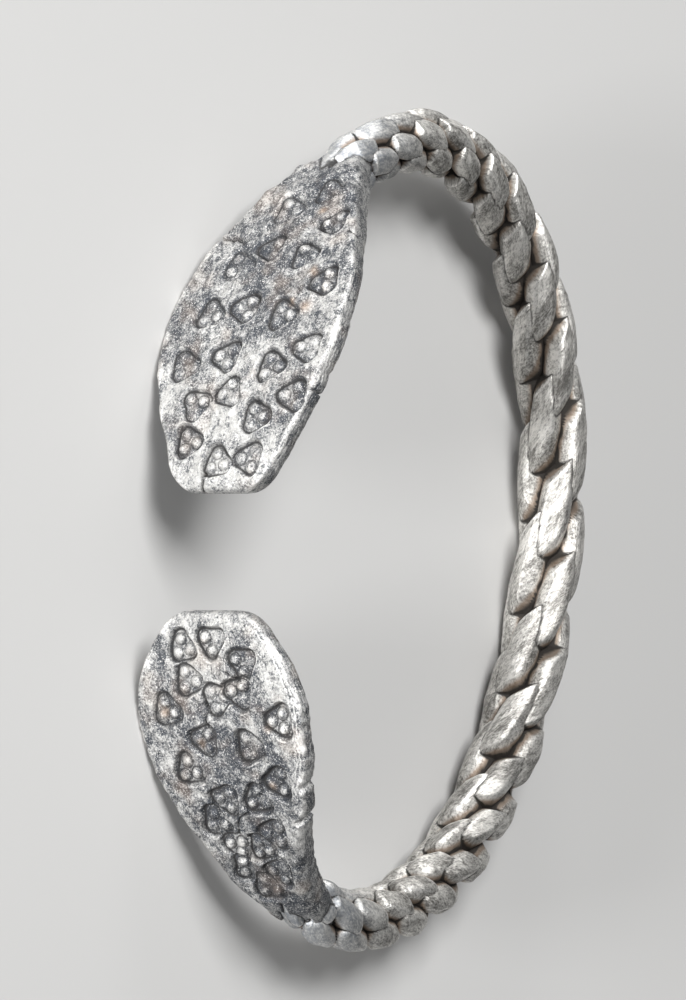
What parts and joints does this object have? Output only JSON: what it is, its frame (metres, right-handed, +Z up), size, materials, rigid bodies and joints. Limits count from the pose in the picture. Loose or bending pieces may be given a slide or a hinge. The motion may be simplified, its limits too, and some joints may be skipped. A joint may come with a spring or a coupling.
{
  "type": "braided bracelet",
  "caption": "Open oval arm ring of braided silver rods, hammered at both ends into leaf-shaped plates with rows of small punched triangles",
  "frame": {"origin": "on the ground, at the middle of the ring's bounding box, with the ring lying on its side", "axes": "X is the oval's long way, the opening faces -Y and +Z is up; the longer plate is towards -X"},
  "size_m": [0.076, 0.0556, 0.0181],
  "materials": {
    "silver": "old hammered silver, bright on edges and ridges, grey and speckled on the plates, dark in stamps and between rods"
  },
  "bodies": {
    "root": {"arm_ring": "silver"}
  },
  "joints": []
}
